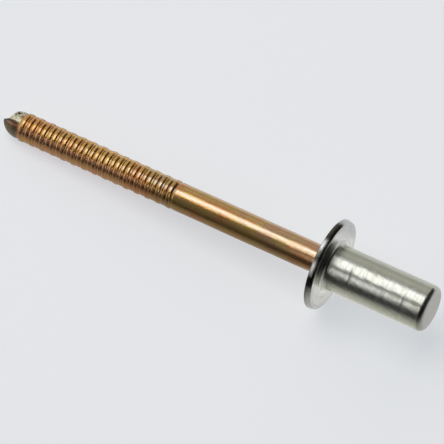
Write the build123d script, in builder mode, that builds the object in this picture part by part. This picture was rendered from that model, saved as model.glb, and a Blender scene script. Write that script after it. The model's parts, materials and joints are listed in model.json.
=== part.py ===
from build123d import *
import math
import os

os.makedirs("parts", exist_ok=True)

# Sizes are millimetres. Lengths along the rivet run from the seat of the flange,
# positive toward the closed end and negative toward the tip of the mandrel.

# Rivet body: a cup closed at one end, with a domed flange at the other
body_diameter = 3.2
body_length = 7.35
end_wall = 0.75
end_crown = 0.05
end_round = 0.42
flange_diameter = 6.35
head_height = 0.8
rim_thickness = 0.45
rim_round = 0.08
seat_edge_chamfer = 0.06
root_round = 0.35
mouth_land = 0.12

# Mandrel: a wire with a gripping end outside and a pulling head inside the cup
mandrel_diameter = 1.96
mandrel_protrusion = 24.62
head_overhang = 0.18
head_cylinder = 0.9
head_cone_angle = 45
neck_diameter = 1.3
neck_length = 0.5
neck_to_head = 0.3

# Grip ridges: peaked rings, every second one a little lower
ridge_count = 29
ridge_pitch = 0.412
groove_depth = 0.1
tall_ridge_rise = 0.03
low_ridge_drop = 0.04

# Cropped tip: a rounded nose with a scoop cut into one side, which leaves a beak
tip_length = 1.4
tip_relief = 0.05
nose_end_radius = 0.15
nose_steps = 3
beak_drop = 0.065
beak_length = 0.58
beak_slope = 24
scoop_slope = 70
scoop_round = 0.15
tip_turn = 57
crop_clearance = 0.5

# Pinch ring: just inside its mouth the cup is pressed into the wire, which holds the two together
pinch_width = 0.6
pinch_depth = 0.03

# Clearances between the mandrel and the cup
bore_clearance = 0.015
head_clearance = 0.03
head_end_gap = 0.08

# Sizes that follow from the ones above
body_radius = body_diameter / 2
flange_radius = flange_diameter / 2
shank_radius = mandrel_diameter / 2
head_radius = shank_radius + head_overhang
land_radius = shank_radius - tip_relief
root_radius = shank_radius - groove_depth
crest_radius = shank_radius + tall_ridge_rise
bore_radius = shank_radius + bore_clearance
mouth_radius = bore_radius + mouth_land
pocket_radius = head_radius + head_clearance

# Stations along the rivet
pinch_end = pinch_width - head_height
tip_end = -head_height - mandrel_protrusion
ridges_start = tip_end + tip_length
ridges_end = ridges_start + ridge_count * ridge_pitch
nose_base = ridges_start - ridge_pitch / 4
first_crest = ridges_start + ridge_pitch / 2
pocket_end = body_length - end_wall
head_end = pocket_end - head_end_gap
head_start = head_end - head_cylinder
cone_start = head_start - head_overhang / math.tan(math.radians(head_cone_angle))
neck_end = cone_start - neck_to_head
neck_start = neck_end - neck_length
pocket_shoulder = head_start - head_clearance
pocket_slope = (pocket_radius - bore_radius) / math.tan(math.radians(head_cone_angle))
pocket_start = pocket_shoulder - pocket_slope

# The dome is an arc that is level at the mouth and meets the rim in a rounded edge
dome_rise = head_height - rim_thickness
dome_reach = flange_radius - mouth_radius
dome_radius = (dome_reach**2 + dome_rise**2) / (2 * dome_rise)
edge_drop = math.sqrt((dome_radius - rim_round) ** 2 - (dome_reach - rim_round) ** 2)
edge_centre = dome_radius - head_height - edge_drop

# The nose follows an arc that leaves the wire smoothly, in a few cone-shaped steps
nose_fall = land_radius - nose_end_radius
nose_length = nose_base - tip_end
nose_radius = (nose_length**2 + nose_fall**2) / (2 * nose_fall)
nose_step = math.asin(nose_length / nose_radius) / nose_steps
nose_line = []
for step in range(nose_steps + 1):
    nose_x = nose_base - nose_radius * math.sin(step * nose_step)
    nose_line.append((nose_x, land_radius - nose_radius * (1 - math.cos(step * nose_step))))

# At rest the rivet lies on the rounded edge of its flange and on its first grip ridge
contact_span = edge_centre - first_crest
contact_step = flange_radius - rim_round - crest_radius
contact_line = math.hypot(contact_span, contact_step)
rest_tilt = math.atan2(contact_step, contact_span) + math.asin(rim_round / contact_line)

# The origin is on the floor, below the middle of the lying rivet
seat_height = (flange_radius - rim_round) * math.cos(rest_tilt) + rim_round
seat_height -= edge_centre * math.sin(rest_tilt)
seat_x = -(tip_end + body_length) / 2 * math.cos(rest_tilt)
seat = Vector(seat_x, 0, seat_height)
along = Vector(math.cos(rest_tilt), 0, math.sin(rest_tilt))

# Sections are drawn with x along the rivet and y outward from its axis
section_plane = Plane(origin=seat, x_dir=along, z_dir=(0, -1, 0))
rivet_axis = Axis(seat, along)
crop_edge = section_plane.z_dir.rotate(rivet_axis, -tip_turn)
tip_plane = Plane(origin=seat, x_dir=along, z_dir=crop_edge)

# Rivet body, one solid of revolution
with BuildPart() as rivet_body:
    with BuildSketch(section_plane):
        mouth = (-head_height, mouth_radius)
        rim_top = (-rim_thickness, flange_radius)
        rim_seat = (0, flange_radius)
        root = (0, body_radius)
        end_corner = (body_length - end_crown, body_radius)
        end_centre = (body_length, 0)
        with BuildLine():
            TangentArc(mouth, rim_top, tangent=(0, 1))
            Polyline(rim_top, rim_seat, root, end_corner)
            TangentArc(end_centre, end_corner, tangent=(0, 1))
            Polyline(
                end_centre,
                (pocket_end, 0),
                (pocket_end, pocket_radius),
                (pocket_shoulder, pocket_radius),
                (pocket_start, bore_radius),
                (pinch_end, bore_radius),
                (pinch_end - pinch_width / 2, bore_radius - pinch_depth),
                (-head_height, bore_radius),
                mouth,
            )
        make_face()
        fillet(vertices().sort_by_distance(rim_top)[0], rim_round)
        chamfer(vertices().sort_by_distance(rim_seat)[0], seat_edge_chamfer)
        fillet(vertices().sort_by_distance(root)[0], root_round)
        fillet(vertices().sort_by_distance(end_corner)[0], end_round)
    revolve(axis=rivet_axis)

rivet_body.part.label = "rivet_body"
export_step(rivet_body.part, "parts/rivet_body.step")

# Mandrel, revolved with its rounded nose and then cropped
with BuildPart() as mandrel:
    with BuildSketch(section_plane):
        with BuildLine():
            Polyline(
                (ridges_start, root_radius),
                *nose_line,
                (tip_end, 0),
                (head_end, 0),
                (head_end, head_radius),
                (head_start, head_radius),
                (cone_start, shank_radius),
                (neck_end, shank_radius),
                ((neck_start + neck_end) / 2, neck_diameter / 2),
                (neck_start, shank_radius),
                (pinch_end, shank_radius),
                (pinch_end - pinch_width / 2, shank_radius - pinch_depth),
                (-head_height, shank_radius),
                (ridges_end + ridge_pitch / 2, shank_radius),
                (ridges_end, root_radius),
            )
            for ridge in range(ridge_count):
                groove = ridges_start + ridge * ridge_pitch
                crest = crest_radius - low_ridge_drop * (ridge % 2)
                Polyline(
                    (groove, root_radius),
                    (groove + ridge_pitch / 2, crest),
                    (groove + ridge_pitch, root_radius),
                )
        make_face()
    revolve(axis=rivet_axis)

    # The scoop has a gently rising floor, which is the beak's top, and a steep wall
    with BuildSketch(tip_plane):
        clear = shank_radius + crop_clearance
        outside = tip_end - clear
        beak_rise = math.tan(math.radians(beak_slope))
        floor_start = (outside, -beak_drop - clear * beak_rise)
        scoop_foot = (tip_end + beak_length, beak_length * beak_rise - beak_drop)
        scoop_run = (clear - scoop_foot[1]) / math.tan(math.radians(scoop_slope))
        scoop_top = (scoop_foot[0] + scoop_run, clear)
        with BuildLine():
            FilletPolyline(floor_start, scoop_foot, scoop_top, radius=scoop_round)
            Polyline(scoop_top, (outside, clear), floor_start)
        make_face()
    extrude(amount=clear, both=True, mode=Mode.SUBTRACT)

mandrel.part.label = "mandrel"
export_step(mandrel.part, "parts/mandrel.step")
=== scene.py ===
import json
import math
import random

import bpy
import numpy as np
from mathutils import Matrix, Vector


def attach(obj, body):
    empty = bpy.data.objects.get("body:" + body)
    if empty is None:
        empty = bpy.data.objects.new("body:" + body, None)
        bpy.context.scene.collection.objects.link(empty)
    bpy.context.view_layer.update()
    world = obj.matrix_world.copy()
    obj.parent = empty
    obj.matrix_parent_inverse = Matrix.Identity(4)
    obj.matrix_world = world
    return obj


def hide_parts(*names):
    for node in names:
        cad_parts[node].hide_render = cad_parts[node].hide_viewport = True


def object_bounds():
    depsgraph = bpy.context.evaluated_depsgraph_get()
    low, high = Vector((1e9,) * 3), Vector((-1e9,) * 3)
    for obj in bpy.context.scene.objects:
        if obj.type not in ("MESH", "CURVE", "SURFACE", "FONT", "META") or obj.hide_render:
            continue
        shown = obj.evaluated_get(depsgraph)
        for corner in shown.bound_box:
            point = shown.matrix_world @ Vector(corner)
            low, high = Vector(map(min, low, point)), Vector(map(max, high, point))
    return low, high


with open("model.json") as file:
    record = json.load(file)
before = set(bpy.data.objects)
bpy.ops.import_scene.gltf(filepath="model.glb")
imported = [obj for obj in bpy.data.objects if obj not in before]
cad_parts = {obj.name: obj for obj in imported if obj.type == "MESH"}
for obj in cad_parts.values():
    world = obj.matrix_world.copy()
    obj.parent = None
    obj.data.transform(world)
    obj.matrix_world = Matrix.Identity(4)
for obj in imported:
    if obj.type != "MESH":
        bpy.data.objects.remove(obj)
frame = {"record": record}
cad_box = [list(corner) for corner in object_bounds()]

MM = 0.001

# Sizes are millimetres. Lengths run along the rivet from the seat of its flange, positive toward
# the closed end and negative toward the tip of the mandrel.

# Rivet body, as in the part's source
BODY_RADIUS = 1.6
BODY_LENGTH = 7.35
END_WALL = 0.75
END_CROWN = 0.05
END_ROUND = 0.42
FLANGE_RADIUS = 3.175
HEAD_HEIGHT = 0.8
RIM_THICKNESS = 0.45
RIM_ROUND = 0.08
ROOT_ROUND = 0.35
MOUTH_LAND = 0.12

# Mandrel, as in the part's source
SHANK_RADIUS = 0.98
PROTRUSION = 24.62
HEAD_OVERHANG = 0.18
HEAD_CYLINDER = 0.9
NECK_RADIUS = 0.65
NECK_LENGTH = 0.5
NECK_TO_HEAD = 0.3
RING_COUNT = 29
RING_PITCH = 0.412
GROOVE_DEPTH = 0.1
TIP_LENGTH = 1.4
TIP_RELIEF = 0.05
NOSE_END_RADIUS = 0.15
BEAK_DROP = 0.065
BEAK_LENGTH = 0.58
BEAK_SLOPE = math.tan(math.radians(24))
SCOOP_SLOPE = math.tan(math.radians(70))
SCOOP_ROUND = 0.15
TIP_TURN = math.radians(57)
PINCH_WIDTH = 0.6
PINCH_DEPTH = 0.03

# Clearances inside the cup, as in the part's source
BORE_CLEARANCE = 0.015
HEAD_CLEARANCE = 0.03
HEAD_END_GAP = 0.08

# Sizes that only this scene has. The inset keeps the visible cup inside the CAD's box, and the rings
# start farther along than the CAD's by their offset. The pressed lines are (length, depth).
INSET = 0.0008
RIM_TAPER = math.radians(24)
SEAT_EDGE_ROUND = 0.06
CROWN_RISE = 0.55 * END_CROWN
RING_OFFSET = 0.145
RING_ROOT = SHANK_RADIUS - GROOVE_DEPTH + 0.01
PRESSED_LINES = ((1.78, 0.024), (5.7, 0.015))
PRESSED_WIDTH = 0.045
TURNING_BAND = 0.45
TURNING_PITCH = 0.14
TURNING_DEPTH = 0.008
EDGE_GROOVE_INSET = 0.26
EDGE_GROOVE_WIDTH = 0.035
EDGE_GROOVE_DEPTH = 0.012

# Sizes that follow from the ones above
BORE_RADIUS = SHANK_RADIUS + BORE_CLEARANCE
HEAD_RADIUS = SHANK_RADIUS + HEAD_OVERHANG
POCKET_RADIUS = HEAD_RADIUS + HEAD_CLEARANCE
MOUTH_RADIUS = BORE_RADIUS + MOUTH_LAND
LAND_RADIUS = SHANK_RADIUS - TIP_RELIEF
RIM_RADIUS = FLANGE_RADIUS - INSET
CUP_END = BODY_LENGTH - INSET

# Stations along the rivet
TIP_END = -HEAD_HEIGHT - PROTRUSION
RINGS_START = TIP_END + TIP_LENGTH
RINGS_END = RINGS_START + RING_COUNT * RING_PITCH
NOSE_BASE = RINGS_START - RING_PITCH / 4
POCKET_END = BODY_LENGTH - END_WALL
HEAD_END = POCKET_END - HEAD_END_GAP
HEAD_START = HEAD_END - HEAD_CYLINDER
CONE_START = HEAD_START - HEAD_OVERHANG
NECK_END = CONE_START - NECK_TO_HEAD
NECK_START = NECK_END - NECK_LENGTH
POCKET_SHOULDER = HEAD_START - HEAD_CLEARANCE
POCKET_START = POCKET_SHOULDER - (POCKET_RADIUS - BORE_RADIUS)

# Points round the rivet's axis in one ring of a mesh
MANDREL_SEGMENTS = 160
BODY_SEGMENTS = 192

# The two sections of the grip rings, as (place from 0 to 1 across one pitch, radius). The tall one is
# a wide land that rises gently and falls steeply. The low one is lapped over it and has a notch.
TALL_RING = (
    (0, RING_ROOT),
    (0.03, RING_ROOT + 0.01),
    (0.17, 0.985),
    (0.23, 1.0),
    (0.5, 1.004),
    (0.78, 1.0),
    (0.85, 0.975),
    (0.89, 0.936),
    (0.94, 0.932),
)
LOW_RING = (
    (0, 0.946),
    (0.06, 0.955),
    (0.2, 0.958),
    (0.24, 0.935),
    (0.28, 0.93),
    (0.33, 0.945),
    (0.38, 0.962),
    (0.6, 0.966),
    (0.79, 0.962),
    (0.85, 0.945),
    (0.92, RING_ROOT + 0.01),
    (0.96, RING_ROOT),
)

# The rivet's own axes in the row frame: x along it, y level across it, z across it and upward
mounts = {mount["name"]: mount for mount in frame["record"]["mounts"]}
ALONG = Vector(mounts["shank"]["axis"]).normalized()
UPWARD = Vector((-ALONG.z, 0, ALONG.x))
ACROSS = UPWARD.cross(ALONG)
SEAT = Vector(mounts["flange_seat"]["pos_m"]) - UPWARD * (BODY_RADIUS + FLANGE_RADIUS) / 2 * MM
TILT = math.asin(ALONG.z)


def to_row(points):
    """Millimetres in the rivet's axes to metres in the row frame."""
    axes = np.array([ALONG, ACROSS, UPWARD])
    return np.asarray(points) @ axes * MM + np.array(SEAT)


def lathe_rings(profile, count):
    """Rings of points round the rivet's axis, one for each (length, radius)."""
    turns = np.arange(count) * 2 * math.pi / count
    cos, sin = np.cos(turns), np.sin(turns)
    return [np.stack([np.full(count, u), r * sin, r * cos], -1) for u, r in profile]


def arc(centre, radius, start, end, steps):
    """Points on an arc in the (length, radius) plane, by angles in degrees."""
    angles = np.radians(np.linspace(start, end, steps))
    return [(centre[0] + radius * math.cos(a), centre[1] + radius * math.sin(a)) for a in angles]


def subdivide(points, step):
    """Points added along straight runs, no farther apart than the step."""
    dense = [points[0]]
    for (u0, r0), (u1, r1) in zip(points, points[1:]):
        parts = max(1, math.ceil(math.hypot(u1 - u0, r1 - r0) / step))
        for part in range(1, parts + 1):
            dense.append((u0 + (u1 - u0) * part / parts, r0 + (r1 - r0) * part / parts))
    return dense


def scaled_round_axis(points, scale):
    """Points moved toward or away from the rivet's axis, each by its own factor."""
    return points * np.stack([np.ones(len(points)), scale, scale], -1)


def uneven(points, seed, size, along, around, low, high):
    """Moves points toward or away from the axis by a few gentle waves, between two lengths."""
    waves, fade_length, least_radius = 14, 0.3, 0.2
    rng = random.Random(seed)
    u = points[:, 0]
    turn = np.arctan2(points[:, 1], points[:, 2])
    shift = np.zeros(len(points))
    for _ in range(waves):
        lobes = rng.randint(0, around)
        shift += np.sin(u * rng.uniform(0.2, 1.0) * along + lobes * turn + rng.uniform(0, 6.3))
    fade = np.clip((u - low) / fade_length, 0, 1) * np.clip((high - u) / fade_length, 0, 1)
    radius = np.maximum(least_radius, np.hypot(points[:, 1], points[:, 2]))
    return scaled_round_axis(points, 1 + size * shift / math.sqrt(waves) * fade / radius)


def band_faces(low, high, count):
    """Quads between two rings, by the index of each ring's first point."""
    turns = [(turn, (turn + 1) % count) for turn in range(count)]
    return [(low + turn, low + after, high + after, high + turn) for turn, after in turns]


def fan_faces(centre, ring, count, reverse):
    """Triangles between a point and a ring."""
    turns = [(turn, (turn + 1) % count) for turn in range(count)]
    if reverse:
        return [(centre, ring + after, ring + turn) for turn, after in turns]
    return [(centre, ring + turn, ring + after) for turn, after in turns]


def add_object(name, points, faces):
    mesh = bpy.data.meshes.new(name)
    mesh.from_pydata([tuple(point) for point in points], [], faces)
    mesh.update()
    item = bpy.data.objects.new(name, mesh)
    bpy.context.scene.collection.objects.link(item)
    return item


def add_piece(name, points, faces, slots):
    """A smooth piece from points in the rivet's axes, with the index of each face's material."""
    piece = add_object(name, to_row(points), faces)
    piece.data.polygons.foreach_set("material_index", slots)
    piece.data.polygons.foreach_set("use_smooth", [True] * len(faces))
    piece.data.update()
    return piece


# Mandrel: the cropped tip, the grip rings, the smooth wire, and the neck and head inside the cup
def mandrel_profile():
    """(length, radius) of the mandrel beyond the land behind its tip."""
    rng = random.Random(5)
    line = []
    for ring in range(RING_COUNT):
        start = RINGS_START + RING_OFFSET + ring * RING_PITCH
        # The middle of each ring is a little higher or lower than the others', and leans a little
        wobble, lean = rng.uniform(-0.006, 0.003), rng.uniform(-0.012, 0.008)
        for place, radius in LOW_RING if ring % 2 else TALL_RING:
            fade = max(0, min(1, (place - 0.2) * 6, (0.8 - place) * 6))
            line.append((start + place * RING_PITCH, radius + (wobble + lean * (place - 0.5)) * fade))

    # The last groove runs out into the smooth wire
    last = RINGS_END + RING_OFFSET
    line.append((last, SHANK_RADIUS - GROOVE_DEPTH))
    line.append((last + 0.05, SHANK_RADIUS - 0.045))
    line.append((last + 0.12, SHANK_RADIUS - 0.012))
    line += subdivide([(last + RING_PITCH / 2, SHANK_RADIUS), (-HEAD_HEIGHT, SHANK_RADIUS)], 0.25)

    # Inside the cup: the pinched waist, the neck, and the head with its eased edges
    line += [
        (-HEAD_HEIGHT + PINCH_WIDTH / 2, SHANK_RADIUS - PINCH_DEPTH),
        (-HEAD_HEIGHT + PINCH_WIDTH, SHANK_RADIUS),
        (NECK_START, SHANK_RADIUS),
        ((NECK_START + NECK_END) / 2, NECK_RADIUS),
        (NECK_END, SHANK_RADIUS),
        (CONE_START, SHANK_RADIUS),
        (HEAD_START, HEAD_RADIUS),
        (HEAD_START + 0.02, HEAD_RADIUS),
        (HEAD_END - 0.06, HEAD_RADIUS),
        (HEAD_END - 0.02, HEAD_RADIUS - 0.02),
        (HEAD_END, HEAD_RADIUS - 0.06),
        (HEAD_END, 0.5),
    ]
    return line


def nose_radius(u):
    """The rounded nose's radius at a length, with the edge of its end eased."""
    eased_length, end_share = 0.06, 0.55
    fall = LAND_RADIUS - NOSE_END_RADIUS
    arc_radius = ((NOSE_BASE - TIP_END) ** 2 + fall**2) / (2 * fall)
    back = max(0.0, NOSE_BASE - u)
    radius = LAND_RADIUS - arc_radius + math.sqrt(arc_radius**2 - back**2)
    ease = min(1.0, (u - TIP_END) / eased_length)
    return radius * (end_share + (1 - end_share) * math.sqrt(ease * (2 - ease)))


def scoop_height(u, w):
    """The scoop's height above the axis at a length u and a distance w across it.

    The beak's gentle slope and the steep wall meet in a rounded foot, which is slightly curved.
    """
    x = u - TIP_END - BEAK_LENGTH - 0.1 * (w * w - 0.2)
    bend = SCOOP_ROUND * 0.55
    blend = 0.5 * (x + math.sqrt(x * x + bend * bend))
    return BEAK_LENGTH * BEAK_SLOPE - BEAK_DROP + BEAK_SLOPE * (x - blend) + SCOOP_SLOPE * blend


def tip_ring(u, count):
    """One ring of the cropped nose, and a 1 for each of its points that lies on the scoop.

    The points are spread round the middle of what the scoop leaves. Each lies on the nose or on the
    scoop, whichever is nearer to that middle, and the edge between the two is slightly rounded.
    """
    edge_power, edge_reach, least_reach = 30.0, 1.6, 0.02
    radius = nose_radius(u)
    scoop = scoop_height(u, 0.0)
    high = min(scoop, radius)
    centre = (high - radius) / 2
    half_high = max((high + radius) / 2, 1e-4)
    half_wide = math.sqrt(max(radius**2 - centre**2, 1e-6))
    points, cropped = [], []
    for turn in range(count):
        angle = turn * 2 * math.pi / count - TIP_TURN
        n, w = half_high * math.cos(angle), half_wide * math.sin(angle)
        size = math.hypot(n, w)
        n, w = n / size, w / size
        to_nose = -centre * n + math.sqrt(radius**2 - (centre * w) ** 2)
        to_scoop = to_nose * 9
        if n > 0.01:
            to_scoop = (scoop - centre) / n
            for _ in range(3):
                height = scoop_height(u, w * min(to_scoop, to_nose))
                to_scoop = max(least_reach, (height - centre) / n)
        reach = min(to_nose, to_scoop)
        if to_scoop < to_nose * edge_reach:
            reach = (to_nose**-edge_power + to_scoop**-edge_power) ** (-1 / edge_power)
        n, w = centre + n * reach, w * reach
        y = n * math.sin(TIP_TURN) + w * math.cos(TIP_TURN)
        z = n * math.cos(TIP_TURN) - w * math.sin(TIP_TURN)
        points.append((u, y, z))
        cropped.append(1 if to_scoop < to_nose * 0.995 else 0)
    return np.array(points), cropped


def dented(points):
    """The small dent in the nose, by its length and its turn from the top toward the back."""
    dent_at, dent_turn, size, spread, depth = TIP_END + 1.05, 32, 0.09, 12, 0.09
    turn = np.degrees(np.arctan2(points[:, 1], points[:, 2])) - dent_turn
    near = np.exp(-(((points[:, 0] - dent_at) / size) ** 2) - (turn / spread) ** 2)
    return scaled_round_axis(points, 1 - depth * near)


def build_mandrel():
    """One closed surface from the tip to the head. Faces on the scoop have material 1."""
    # The tip's rings lie closest together on the scoop's steep wall
    stations = [TIP_END, TIP_END + 0.01, TIP_END + 0.03]
    stations += list(np.linspace(TIP_END + 0.05, TIP_END + 0.5, 16))
    stations += list(np.linspace(TIP_END + 0.51, TIP_END + 0.95, 34))
    stations += list(np.linspace(TIP_END + 0.98, NOSE_BASE, 12))

    count = MANDREL_SEGMENTS
    tip = [tip_ring(u, count) for u in stations]
    rings = []
    for ring in [points for points, _ in tip] + lathe_rings(mandrel_profile(), count):
        ring = uneven(
            dented(ring), seed=3, size=0.005, along=9, around=7, low=TIP_END + 0.1, high=RINGS_END
        )
        ring = uneven(ring, seed=4, size=0.003, along=2.5, around=5, low=RINGS_END, high=-HEAD_HEIGHT)
        rings.append(ring)

    faces, slots = [], []
    for band in range(len(rings) - 1):
        faces += band_faces(band * count, (band + 1) * count, count)
        slots += tip[band][1] if band < len(tip) else [0] * count
    points = np.vstack([*rings, rings[0].mean(0), rings[-1].mean(0)])
    faces += fan_faces(len(points) - 2, 0, count, reverse=True)
    faces += fan_faces(len(points) - 1, (len(rings) - 1) * count, count, reverse=False)
    slots += tip[0][1] + [0] * count
    return add_piece("mandrel_wire", points, faces, slots)


# Rivet body: the outside of the cup with its flange, then the stepped bore inside it
def outside_profile():
    """(length, radius) from the mouth over the dome, the rim, the seat and the cup to its end."""
    dome_rise = HEAD_HEIGHT - RIM_THICKNESS
    dome_reach = RIM_RADIUS - MOUTH_RADIUS
    dome_radius = (dome_reach**2 + dome_rise**2) / (2 * dome_rise)
    edge_drop = math.sqrt((dome_radius - RIM_ROUND) ** 2 - (dome_reach - RIM_ROUND) ** 2)
    dome_centre = (dome_radius - HEAD_HEIGHT, MOUTH_RADIUS)
    edge = (dome_radius - HEAD_HEIGHT - edge_drop, RIM_RADIUS - RIM_ROUND)
    edge_angle = math.degrees(math.atan2(edge[1] - dome_centre[1], edge[0] - dome_centre[0]))
    line = arc(dome_centre, dome_radius, 180, edge_angle, 26)
    line += arc(edge, RIM_ROUND, edge_angle, 90, 10)[1:]

    # The rim is barrel-shaped and tapers toward the seat
    barrel = (-SEAT_EDGE_ROUND - edge[0]) / math.sin(RIM_TAPER)
    line += arc((edge[0], RIM_RADIUS - barrel), barrel, 90, 90 - math.degrees(RIM_TAPER), 12)[1:]
    seat_edge = RIM_RADIUS - barrel * (1 - math.cos(RIM_TAPER))
    seat_middle = (-SEAT_EDGE_ROUND, seat_edge - SEAT_EDGE_ROUND)
    line += arc(seat_middle, SEAT_EDGE_ROUND, 65, 0, 6)[1:]

    line += subdivide([(0, seat_middle[1]), (0, BODY_RADIUS + ROOT_ROUND)], 0.03)
    line += arc((ROOT_ROUND, BODY_RADIUS + ROOT_ROUND), ROOT_ROUND, 180, 270, 40)[1:]
    end = (CUP_END - CROWN_RISE - END_ROUND, BODY_RADIUS - END_ROUND)
    line += subdivide([(ROOT_ROUND + 0.03, BODY_RADIUS), (end[0], BODY_RADIUS)], 0.03)
    line += arc(end, END_ROUND, 90, 4, 18)[1:]
    crown_steps = 13
    for step in range(1, crown_steps):
        share = 1 - step / crown_steps
        line.append((CUP_END - CROWN_RISE * share**2, end[1] * share))
    return line


INSIDE_PROFILE = (
    (POCKET_END, 0.02),
    (POCKET_END, HEAD_RADIUS),
    (POCKET_END, POCKET_RADIUS),
    (POCKET_SHOULDER, POCKET_RADIUS),
    (POCKET_START, BORE_RADIUS),
    (-HEAD_HEIGHT + PINCH_WIDTH, BORE_RADIUS),
    (-HEAD_HEIGHT + PINCH_WIDTH / 2, BORE_RADIUS - PINCH_DEPTH),
    (-HEAD_HEIGHT, BORE_RADIUS),
)


def turned(u, radius):
    """Adds the turning marks at the root of the flange and the fine groove near its edge."""
    if u < -1e-6 or radius >= FLANGE_RADIUS - 0.15:
        return u, radius
    marked_radius = BODY_RADIUS + ROOT_ROUND + TURNING_BAND
    if u < ROOT_ROUND and radius < marked_radius:
        along = u + BODY_RADIUS + ROOT_ROUND - radius
        fade = min(1, (ROOT_ROUND - u) / 0.08, (marked_radius - radius) / 0.2)
        waves = math.sin(along * 2 * math.pi / TURNING_PITCH) * math.sin(along * 7 + 1)
        ripple = TURNING_DEPTH * fade * waves
        return u - 0.7 * abs(ripple) - 0.0005, radius - 0.7 * ripple
    if u < 1e-6 and radius > FLANGE_RADIUS - 0.4:
        from_groove = radius - FLANGE_RADIUS + EDGE_GROOVE_INSET
        return u - EDGE_GROOVE_DEPTH * math.exp(-((from_groove / EDGE_GROOVE_WIDTH) ** 2)), radius
    return u, radius


def pressed(points):
    """Presses the two fine lines round the cup, deeper on the side toward -Y."""
    u, radius = points[0, 0], np.hypot(points[:, 1], points[:, 2])
    if u <= ROOT_ROUND:
        return points
    depth = 0
    for line_at, line_depth in PRESSED_LINES:
        depth += line_depth * math.exp(-(((u - line_at) / PRESSED_WIDTH) ** 2))
    side = np.clip((-points[:, 1] / radius - 0.1) / 0.25, 0.12, 1)
    return scaled_round_axis(points, 1 - depth * side / radius)


def build_body():
    """One closed surface: outer rings from the mouth to the end, inner ones from the blind end back."""
    count = BODY_SEGMENTS
    cup_low, cup_high = ROOT_ROUND, BODY_LENGTH - END_ROUND
    rings = []
    for ring in lathe_rings([turned(u, radius) for u, radius in outside_profile()], count):
        ring = pressed(ring)
        ring = uneven(ring, seed=6, size=0.0014, along=8, around=30, low=cup_low, high=cup_high)
        rings.append(ring)
    end_ring = (len(rings) - 1) * count
    blind_ring = len(rings) * count
    rings += lathe_rings(INSIDE_PROFILE, count)
    mouth_ring = (len(rings) - 1) * count

    faces = []
    for low in range(0, mouth_ring, count):
        if low != end_ring:
            faces += band_faces(low, low + count, count)
    faces += band_faces(mouth_ring, 0, count)
    points = np.vstack([*rings, (CUP_END, 0, 0), (POCKET_END, 0, 0)])
    faces += fan_faces(len(points) - 2, end_ring, count, reverse=False)
    faces += fan_faces(len(points) - 1, blind_ring, count, reverse=True)
    return add_piece("cup_with_flange", points, faces, [0] * len(faces))


mandrel = build_mandrel()
body = build_body()

BUMP_HEIGHT = 0.02


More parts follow.
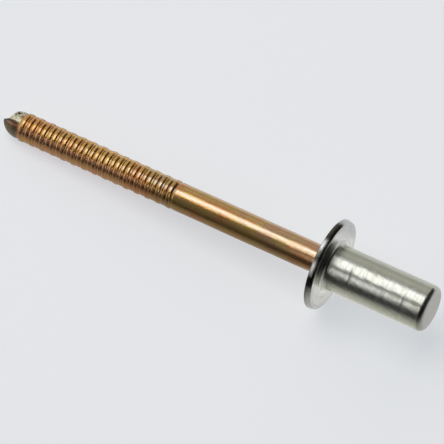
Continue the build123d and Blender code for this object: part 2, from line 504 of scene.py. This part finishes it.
class Graph:
    """Short-hand for building one material's or the world's nodes."""

    def __init__(self, owner):
        owner.use_nodes = True
        self.tree = owner.node_tree
        self.tree.nodes.clear()

    def add(self, kind, sockets=None, **settings):
        """One node, with its sockets linked to other nodes' outputs or set to values."""
        node = self.tree.nodes.new(kind)
        for key, value in settings.items():
            setattr(node, key, value)
        for key, value in (sockets or {}).items():
            if hasattr(value, "is_output"):
                self.tree.links.new(value, node.inputs[key])
            else:
                node.inputs[key].default_value = value
        return node

    def math(self, operation, *values, clamp=False):
        sockets = dict(enumerate(values))
        return self.add("ShaderNodeMath", sockets, operation=operation, use_clamp=clamp).outputs[0]

    def multiply(self, one, two):
        return self.math("MULTIPLY", one, two)

    def plus(self, one, two):
        return self.math("ADD", one, two)

    def centred(self, noise, size):
        """A noise value moved to lie about 0, and scaled."""
        return self.math("MULTIPLY_ADD", noise, size, -size / 2)

    def steps(self, value, *stops, mode="LINEAR"):
        """A colour or number that changes with a value, between stops in the value's own units."""
        low, high = stops[0][0], stops[-1][0]
        level = self.math("MULTIPLY_ADD", value, 1 / (high - low), -low / (high - low), clamp=True)
        node = self.add("ShaderNodeValToRGB", {0: level})
        node.color_ramp.interpolation = mode
        elements = node.color_ramp.elements
        while len(elements) > 1:
            elements.remove(elements[-1])
        for index, (place, colour) in enumerate(stops):
            element = elements[0] if index == 0 else elements.new((place - low) / (high - low))
            element.position = (place - low) / (high - low)
            element.color = (*colour, 1) if hasattr(colour, "__len__") else (colour, colour, colour, 1)
        return node.outputs[0]

    def mix(self, factor, one, two, blend="MIX"):
        """Two colours mixed. The node's inputs 1 to 5 belong to other kinds of data."""
        node = self.add("ShaderNodeMix", data_type="RGBA", blend_type=blend)
        for socket, value in ((node.inputs[0], factor), (node.inputs[6], one), (node.inputs[7], two)):
            if hasattr(value, "is_output"):
                self.tree.links.new(value, socket)
            else:
                socket.default_value = (*value, 1) if hasattr(value, "__len__") else value
        return node.outputs[2]

    def noise(self, vector, scale, detail, rough, distortion=0.0):
        sockets = {
            "Vector": vector,
            "Scale": scale,
            "Detail": detail,
            "Roughness": rough,
            "Distortion": distortion,
        }
        return self.add("ShaderNodeTexNoise", sockets).outputs[0]

    def mapped(self, vector, scale, turn=0.0):
        """A vector turned about the vertical by an angle in degrees, and scaled along each axis."""
        sockets = {"Vector": vector, "Rotation": (0, 0, math.radians(turn)), "Scale": scale}
        return self.add("ShaderNodeMapping", sockets).outputs[0]

    def parts(self, vector):
        return self.add("ShaderNodeSeparateXYZ", {0: vector}).outputs

    def object_place(self):
        return self.add("ShaderNodeTexCoord").outputs["Object"]

    def rivet_axes(self):
        """Millimetres in the rivet's own axes: x along it."""
        sockets = {
            "Vector": self.object_place(),
            "Location": SEAT,
            "Rotation": (0, -TILT, 0),
            "Scale": (MM, MM, MM),
        }
        return self.add("ShaderNodeMapping", sockets, vector_type="TEXTURE").outputs[0]

    def radius(self, parts):
        """The distance from the rivet's axis."""
        squares = self.plus(self.multiply(parts[1], parts[1]), self.multiply(parts[2], parts[2]))
        return self.math("SQRT", squares)

    def metal(self, colour, roughness, height, bump):
        sockets = {"Height": height, "Strength": bump, "Distance": BUMP_HEIGHT * MM}
        normal = self.add("ShaderNodeBump", sockets).outputs[0]
        sockets = {"Base Color": colour, "Roughness": roughness, "Metallic": 1.0, "Normal": normal}
        shader = self.add("ShaderNodeBsdfPrincipled", sockets)
        self.add("ShaderNodeOutputMaterial", {"Surface": shader.outputs[0]})
        return shader


# Dark spots on the nose: millimetres from its end, degrees from the top toward the back, and size
# The first spot lies on the dent in the nose and is painted shade in it.
DARK_SPOTS = ((1.05, 29, 0.14), (0.9, 14, 0.06), (1.42, 12, 0.05))
SPOT_RADIUS = 0.9

# The thin coat over the copper
COAT_WEIGHT = 0.55
COAT_IOR = 1.6
COAT_ROUGHNESS = 0.12


def grey(level):
    return (level, level, level)


def coppered_material():
    """Copper-flashed wire: tarnished in patches, golden on the rings, bare and dark on the nose, with a
    painted highlight along the top and painted light and shade on the rings and nose.
    """
    material = bpy.data.materials.new("coppered_wire")
    g = Graph(material)
    place = g.rivet_axes()
    parts = g.parts(place)
    radius = g.radius(parts)
    upright = g.math("DIVIDE", parts[2], radius)
    side = g.math("DIVIDE", parts[1], radius)
    patches = g.noise(place, 0.55, 4, 0.6)
    streaks = g.noise(g.mapped(place, (0.5, 5, 5)), 1.0, 4, 0.65)
    specks = g.noise(g.mapped(place, (3, 6, 6)), 1.5, 5, 0.7)
    speckle = g.noise(place, 6.5, 3, 0.7)

    # The wire in red-brown and olive patches, golden toward the tip and greyer near the flange
    colour = g.steps(
        patches,
        (0.38, (0.60, 0.26, 0.08)),
        (0.46, (0.60, 0.35, 0.10)),
        (0.53, (0.57, 0.39, 0.10)),
        (0.61, (0.53, 0.31, 0.14)),
    )
    golden = g.steps(parts[0], (-16, 0.9), (-12, 0.0))
    golden_colour = g.steps(patches, (0.42, (0.80, 0.34, 0.07)), (0.58, (0.78, 0.45, 0.09)))
    colour = g.mix(golden, colour, golden_colour)
    greyed = g.steps(parts[0], (-7.5, 0.0), (-1, 0.6))
    greyed = g.multiply(greyed, g.steps(upright, (0.6, 0.3), (0.9, 1.0)))
    colour = g.mix(greyed, colour, (0.50, 0.37, 0.25))
    colour = g.mix(g.steps(streaks, (0.45, 0.0), (0.7, 0.6)), colour, (0.72, 0.31, 0.13))
    colour = g.mix(g.steps(specks, (0.52, 0.0), (0.68, 0.5)), colour, (0.28, 0.13, 0.05))

    # A painted highlight: a pale line along the top, a little toward -Y, where the lamp's highlight
    # falls
    from_line = g.math("ABSOLUTE", g.plus(side, 0.19))
    painted_highlight = g.steps(from_line, (0.06, 0.85), (0.17, 0.0))
    painted_highlight = g.multiply(painted_highlight, g.math("MULTIPLY_ADD", golden, -0.7, 1.0))
    painted_highlight = g.multiply(painted_highlight, g.steps(streaks, (0.35, 0.4), (0.55, 1.1)))
    colour = g.mix(painted_highlight, colour, (0.58, 0.53, 0.42))

    # Painted light: the rings are redder and lighter low on their -Y side, standing in for the brighter
    # light that they reflect there
    turned_side = g.plus(side, g.centred(specks, 0.3))
    lit_low_side = g.steps(turned_side, (-0.92, 0.5), (-0.8, 1.0), (-0.66, 1.0), (-0.5, 0.3), (-0.32, 0.0))
    colour = g.mix(g.multiply(golden, lit_low_side), colour, (0.95, 0.48, 0.24))

    # The nose: bare and speckled above, painted pale as if lit; painted dark brown below as if shaded,
    # with a pink band and a near-black band of painted shade just under the pale top; and dark at the
    # end of its beak
    shaded_lower_nose = g.steps(
        turned_side,
        (-0.88, (0.34, 0.28, 0.16)),
        (-0.68, (0.22, 0.12, 0.05)),
        (-0.56, (0.44, 0.23, 0.14)),
        (-0.46, (0.10, 0.045, 0.02)),
        (-0.34, (0.08, 0.04, 0.02)),
    )
    lit_upper_nose = g.steps(
        speckle, (0.36, (0.20, 0.16, 0.08)), (0.45, (0.55, 0.51, 0.34)), (0.58, (0.82, 0.79, 0.60))
    )
    nose_colour = g.mix(g.steps(turned_side, (-0.34, 0.0), (-0.24, 1.0)), shaded_lower_nose, lit_upper_nose)
    from_end = g.math("SUBTRACT", parts[0], TIP_END)
    nose = g.steps(g.plus(from_end, g.centred(specks, 0.4)), (1.38, 1.0), (1.56, 0.0))
    colour = g.mix(nose, colour, nose_colour)
    colour = g.mix(g.steps(from_end, (0.26, 1.0), (0.48, 0.0)), colour, (0.07, 0.075, 0.045))

    # Painted shade in the grooves, darker where the surface lies deeper, and the dark spots
    groove_shade = g.steps(radius, (0.875, 0.3), (0.935, 0.0))
    groove_shade = g.multiply(groove_shade, g.math("GREATER_THAN", parts[0], RINGS_START - 0.1))
    colour = g.mix(groove_shade, colour, (0.16, 0.07, 0.02))
    spots = 0.0
    for spot_at, spot_turn, size in DARK_SPOTS:
        turn = math.radians(spot_turn)
        spot = (TIP_END + spot_at, SPOT_RADIUS * math.sin(turn), SPOT_RADIUS * math.cos(turn))
        apart = g.add("ShaderNodeVectorMath", {0: place, 1: spot}, operation="DISTANCE")
        near = g.math("MULTIPLY_ADD", apart.outputs["Value"], -1 / size, 1.6, clamp=True)
        spots = g.math("MAXIMUM", spots, near)
    colour = g.mix(spots, colour, (0.05, 0.025, 0.015))

    roughness = g.mix(nose, g.steps(specks, (0.3, 0.1), (0.7, 0.22)), grey(0.46))
    shader = g.metal(colour, roughness, g.plus(streaks, g.multiply(specks, 0.9)), 0.6)

    # The spots have no coat and almost no sheen, so they stay dark at a low angle
    coat = g.math("MULTIPLY_ADD", spots, -COAT_WEIGHT, COAT_WEIGHT)
    g.tree.links.new(g.mix(spots, grey(1), grey(0.02)), shader.inputs["Specular Tint"])
    g.tree.links.new(coat, shader.inputs["Coat Weight"])
    shader.inputs["Coat IOR"].default_value = COAT_IOR
    shader.inputs["Coat Roughness"].default_value = COAT_ROUGHNESS
    return material


def cropped_material():
    """The torn steel of the scoop."""
    material = bpy.data.materials.new("cropped_steel")
    g = Graph(material)
    tears = g.noise(g.mapped(g.rivet_axes(), (2, 2, 2)), 3.0, 5, 0.65)
    colour = g.steps(tears, (0.3, (0.30, 0.27, 0.19)), (0.6, (0.55, 0.53, 0.42)))
    g.metal(colour, g.steps(tears, (0.3, 0.28), (0.7, 0.5)), tears, 0.5)
    return material


def plated_material():
    """Bright plated steel with turning marks, painted darker and olive on the cup outside its highlight
    band, and with painted dark reflections on the rim.
    """
    material = bpy.data.materials.new("plated_body")
    g = Graph(material)
    place = g.rivet_axes()
    parts = g.parts(place)
    radius = g.radius(parts)
    upright = g.math("DIVIDE", parts[2], radius)
    side = g.math("DIVIDE", parts[1], radius)
    clouds = g.noise(place, 0.8, 3, 0.5)
    mottle = g.noise(place, 2.6, 4, 0.6)
    turning = g.noise(g.mapped(place, (12, 0.8, 0.8), 24), 1.0, 4, 0.7, 0.25)
    wear = g.noise(g.mapped(place, (5, 5, 5)), 1.2, 6, 0.75)

    colour = g.steps(clouds, (0.3, (0.59, 0.595, 0.53)), (0.7, (0.68, 0.685, 0.64)))
    colour = g.mix(g.steps(mottle, (0.45, 0.0), (0.62, 0.35)), colour, (0.47, 0.47, 0.38))
    colour = g.mix(g.steps(turning, (0.42, 0.0), (0.66, 0.4)), colour, (0.38, 0.39, 0.34))
    colour = g.mix(g.steps(wear, (0.57, 0.0), (0.72, 0.6)), colour, (0.25, 0.25, 0.21))

    # Painted shade by side: the cup is darker and more olive except in a band toward -Y, where its
    # highlight falls
    flank = g.plus(g.math("ABSOLUTE", g.plus(side, 0.4)), g.centred(mottle, 0.3))
    on_cup = g.steps(radius, (BODY_RADIUS + 0.03, 1.0), (BODY_RADIUS + 0.12, 0.0))
    olive = g.multiply(on_cup, g.steps(flank, (0.42, 0.0), (0.55, 0.65)))
    colour = g.mix(olive, colour, (0.51, 0.52, 0.39))

    # The flange's seat is neutral, with turning rings
    seat_face = g.steps(radius, (BODY_RADIUS + 0.3, 0.0), (BODY_RADIUS + 0.45, 1.0))
    colour = g.mix(g.multiply(seat_face, 0.7), colour, (0.53, 0.525, 0.515))
    round_axis = g.add("ShaderNodeCombineXYZ", {0: g.multiply(radius, 11), 1: side, 2: upright})
    circles = g.noise(round_axis.outputs[0], 1.0, 4, 0.7)
    rings = g.multiply(seat_face, g.steps(circles, (0.45, 0.0), (0.65, 0.55)))
    colour = g.mix(rings, colour, (0.30, 0.295, 0.28))

    # The closed end is duller, and the rim smoother
    end_face = g.steps(parts[0], (BODY_LENGTH - 0.25, 0.0), (BODY_LENGTH - 0.1, 1.0))
    colour = g.mix(g.multiply(end_face, 0.7), colour, (0.57, 0.555, 0.54))
    rim = g.steps(radius, (FLANGE_RADIUS - 0.12, 0.0), (FLANGE_RADIUS - 0.06, 1.0))
    roughness = g.mix(end_face, g.steps(turning, (0.35, 0.08), (0.65, 0.2)), grey(0.34))
    roughness = g.mix(rim, roughness, grey(0.1))

    # Painted dark reflections on the rim, in three stretches of its turn
    rim_dark_reflections = g.steps(
        g.plus(side, g.centred(wear, 0.16)),
        (-0.9, 0.0),
        (-0.87, 0.9),
        (-0.78, 0.9),
        (-0.74, 0.0),
        (-0.5, 0.0),
        (-0.44, 0.75),
        (-0.28, 0.75),
        (-0.2, 0.0),
        (-0.02, 0.0),
        (0.06, 0.92),
        (0.48, 0.92),
        (0.6, 0.0),
    )
    colour = g.mix(g.multiply(rim, rim_dark_reflections), colour, (0.07, 0.06, 0.045))

    relief = g.plus(g.multiply(turning, 0.7), g.multiply(seat_face, circles))
    g.metal(colour, roughness, g.plus(relief, g.multiply(wear, 1.5)), 0.45)
    return material


mandrel.data.materials.append(coppered_material())
mandrel.data.materials.append(cropped_material())
body.data.materials.append(plated_material())

for piece, node, slot in ((mandrel, "mandrel", "coppered_wire"), (body, "rivet_body", "plated_body")):
    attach(piece, "root")
    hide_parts(node)

# The surroundings are in metres, in the row frame
FLOOR_HEIGHT = cad_box[0][2]
FLOOR_REACH = 1.5


def level_corners(x_low, x_high, y_low, y_high, height):
    """The corners of a level rectangle, in order round it."""
    corners = ((x_low, y_low), (x_high, y_low), (x_high, y_high), (x_low, y_high))
    return [(x, y, height) for x, y in corners]


def floor_material():
    """Pale in camera, glossy and transmission rays, and matt for the light that it sends back."""
    material = bpy.data.materials.new("floor")
    g = Graph(material)
    path = g.add("ShaderNodeLightPath").outputs
    seen = g.math("MAXIMUM", path["Is Camera Ray"], path["Is Glossy Ray"])
    seen = g.math("MAXIMUM", seen, path["Is Transmission Ray"])
    matt = g.add("ShaderNodeBsdfDiffuse", {"Color": (0.86, 0.87, 0.89, 1)})
    pale = g.add("ShaderNodeBsdfDiffuse", {"Color": (0.665, 0.65, 0.62, 1)})
    glow = g.add("ShaderNodeEmission", {"Color": (0.895, 0.935, 1.0, 1), "Strength": 0.545})
    both = g.add("ShaderNodeAddShader", {0: pale.outputs[0], 1: glow.outputs[0]})
    shader = g.add("ShaderNodeMixShader", {0: seen, 1: matt.outputs[0], 2: both.outputs[0]})
    g.add("ShaderNodeOutputMaterial", {"Surface": shader.outputs[0]})
    return material


floor_corners = level_corners(-FLOOR_REACH, FLOOR_REACH, -FLOOR_REACH, FLOOR_REACH, FLOOR_HEIGHT)
floor = add_object("floor", floor_corners, [(0, 1, 2, 3)])
floor.data.materials.append(floor_material())


def light_room():
    """A soft grey room: light toward -X, and dark toward +X and low on the camera's side."""
    world = bpy.data.worlds.new("room")
    bpy.context.scene.world = world
    g = Graph(world)
    direction = g.parts(g.add("ShaderNodeTexCoord").outputs["Generated"])

    # Degrees round the X axis, from straight up toward the camera's side
    angle = g.math("ARCTAN2", g.multiply(direction[1], -1), direction[2])
    angle = g.multiply(angle, math.degrees(1))
    room = g.steps(
        angle,
        (-95, 0.42),
        (-75, 0.5),
        (-58, 0.66),
        (-38, 0.5),
        (20, 0.3),
        (41, 0.21),
        (58, 0.17),
        (76, 0.12),
        (94, 0.06),
        mode="EASE",
    )
    room = g.mix(1.0, room, g.steps(direction[0], (-0.1, 1.0), (0.04, 0.08), mode="EASE"), "MULTIPLY")
    room = g.mix(1.0, room, g.steps(direction[0], (-0.8, 0.85), (-0.6, 0.0), mode="EASE"), "LIGHTEN")
    background = g.add("ShaderNodeBackground", {"Color": room, "Strength": 1.0})
    g.add("ShaderNodeOutputWorld", {"Surface": background.outputs[0]})


light_room()

# One soft lamp overhead, which faces straight down
SOFTBOX_PLACE = (-0.23, 0.009, 0.5)
SOFTBOX_WIDTH = 0.44
SOFTBOX_DEPTH = 0.382
SOFTBOX_RADIANCE = 1.4

softbox = bpy.data.lights.new("overhead_softbox", "AREA")
softbox.shape = "RECTANGLE"
softbox.size, softbox.size_y = SOFTBOX_WIDTH, SOFTBOX_DEPTH
softbox.energy = SOFTBOX_RADIANCE * math.pi * SOFTBOX_WIDTH * SOFTBOX_DEPTH
lamp = bpy.data.objects.new("overhead_softbox", softbox)
lamp.location = SOFTBOX_PLACE
bpy.context.scene.collection.objects.link(lamp)


def reflected_card(name, corners, strength_of):
    """A flat glowing card that only reflections see."""
    card = add_object(name, corners, [(0, 1, 2, 3)])
    material = bpy.data.materials.new(name)
    g = Graph(material)
    glow = g.add("ShaderNodeEmission", {"Color": strength_of(g, g.parts(g.object_place()))})
    g.add("ShaderNodeOutputMaterial", {"Surface": glow.outputs[0]})
    card.data.materials.append(material)
    card.visible_camera = False
    card.visible_diffuse = False
    card.visible_shadow = False
    card.visible_transmission = False


# A pale card on the camera's side gives the cup the soft second streak below its highlight. Its upper
# and lower edges lie on a circle round the cup, at angles in degrees from straight up.
CARD_START, CARD_END = -0.0018, 0.009
CARD_TOP, CARD_FOOT = 37, 84
CARD_REACH = 0.03
CARD_CENTRE = 0.0045


def pale_card_strength(g, parts):
    """Brightest in its upper part, and fading out toward its lower edge."""
    angle = g.math("ARCTAN2", g.multiply(parts[1], -1), g.math("SUBTRACT", parts[2], CARD_CENTRE))
    angle = g.multiply(angle, math.degrees(1))
    return g.steps(angle, (54, 1.35), (60.3, 0.68), (71.1, 0.2), (81, 0.0), mode="EASE")


pale_corners = []
for x, angle in (
    (CARD_START, CARD_FOOT),
    (CARD_END, CARD_FOOT),
    (CARD_END, CARD_TOP),
    (CARD_START, CARD_TOP),
):
    turn = math.radians(angle)
    pale_corners.append((x, -CARD_REACH * math.sin(turn), CARD_CENTRE + CARD_REACH * math.cos(turn)))
reflected_card("pale_card", pale_corners, pale_card_strength)

# A card just above the floor makes the floor that the metal reflects fade out with distance, which
# gives the metal its dark band
FALLOFF_HEIGHT = FLOOR_HEIGHT + 0.0001


def floor_falloff_strength(g, parts):
    """Brightest under the rivet, and fading out toward -Y and beside the cup."""
    strength = g.steps(
        parts[1],
        (-0.05, 0.05),
        (-0.025, 0.12),
        (-0.015, 0.22),
        (-0.009, 0.38),
        (-0.005, 0.6),
        (-0.003, 0.72),
        (-0.0015, 0.86),
        (0.0, 1.0),
    )
    beside = g.steps(parts[0], (0.006, 0.42), (0.009, 1.0), (0.015, 1.0), (0.0165, 0.66))
    return g.mix(1.0, strength, beside, "MULTIPLY")


falloff_corners = level_corners(-0.3, 0.3, -0.4, 0.004, FALLOFF_HEIGHT)
reflected_card("floor_falloff", falloff_corners, floor_falloff_strength)

# Camera: its direction in degrees, its lens, and its place from the flange's seat in millimetres
VIEW_AZIMUTH = math.radians(29.65)
VIEW_ELEVATION = math.radians(61.8)
LENS = 290.8
SENSOR = 36
CAMERA_LEFT, CAMERA_UP, CAMERA_BACK = 7.29, 2.89, 235


def add_camera():
    level = math.cos(VIEW_ELEVATION)
    look = Vector(
        (-math.sin(VIEW_AZIMUTH) * level, math.cos(VIEW_AZIMUTH) * level, -math.sin(VIEW_ELEVATION))
    )
    right = Vector((math.cos(VIEW_AZIMUTH), math.sin(VIEW_AZIMUTH), 0))
    up = right.cross(look)
    place = SEAT - (right * CAMERA_LEFT - up * CAMERA_UP + look * CAMERA_BACK) * MM
    data = bpy.data.cameras.new("camera")
    data.sensor_width = SENSOR
    data.lens = LENS
    data.clip_start = 0.01
    data.clip_end = 20
    camera = bpy.data.objects.new("camera", data)
    camera.matrix_world = Matrix(
        (
            (right.x, up.x, -look.x, place.x),
            (right.y, up.y, -look.y, place.y),
            (right.z, up.z, -look.z, place.z),
            (0, 0, 0, 1),
        )
    )
    bpy.context.scene.collection.objects.link(camera)
    bpy.context.scene.camera = camera


add_camera()

bpy.context.scene.view_settings.view_transform = "Standard"
